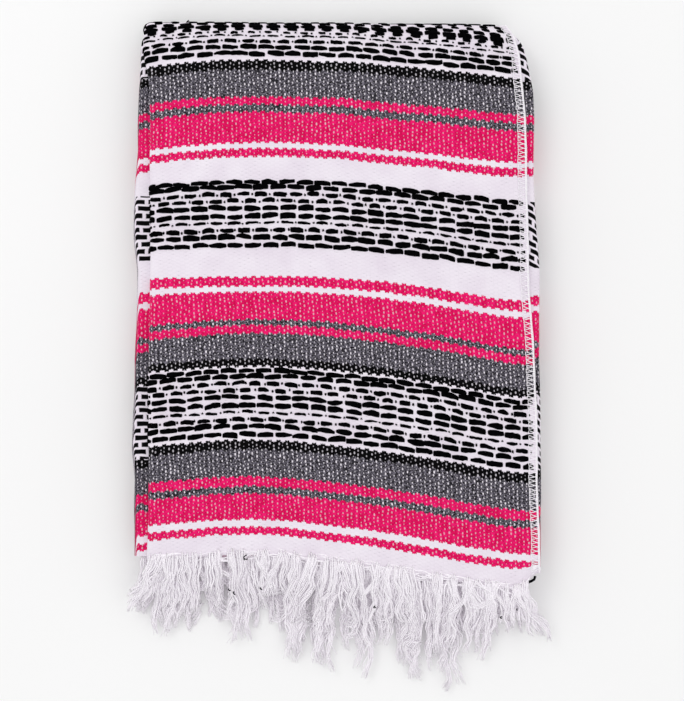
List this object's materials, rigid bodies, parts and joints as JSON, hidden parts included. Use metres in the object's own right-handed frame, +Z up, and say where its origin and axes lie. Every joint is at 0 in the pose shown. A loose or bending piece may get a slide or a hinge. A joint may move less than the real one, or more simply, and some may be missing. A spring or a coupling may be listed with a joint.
{
  "type": "folded fringed falsa blanket",
  "caption": "Striped falsa blanket folded in quarters each way and laid flat, with a rounded fold at one end and knotless yarn fringe at the other.",
  "frame": {"origin": "centre of the bounding box in X and Y, on the surface that the folded blanket rests on", "axes": "+Y from the fringed end to the rounded top fold, +Z up through the plies, +X towards the overlocked edge"},
  "size_m": [0.331, 0.5546, 0.0417],
  "materials": {
    "striped_cloth": "weft-faced plain weave of recycled cotton and acrylic yarn, matt, striped pink, white, grey and black",
    "hidden_cloth": "the same cloth, where the folded plies show at the edges",
    "fringe_yarn": "loose white cotton warp yarn, slightly lavender, matt and fuzzy"
  },
  "bodies": {
    "root": {"outer_layer": "striped_cloth", "inner_folds": "hidden_cloth", "fringe_upper": "fringe_yarn", "fringe_lower": "fringe_yarn"}
  },
  "joints": []
}
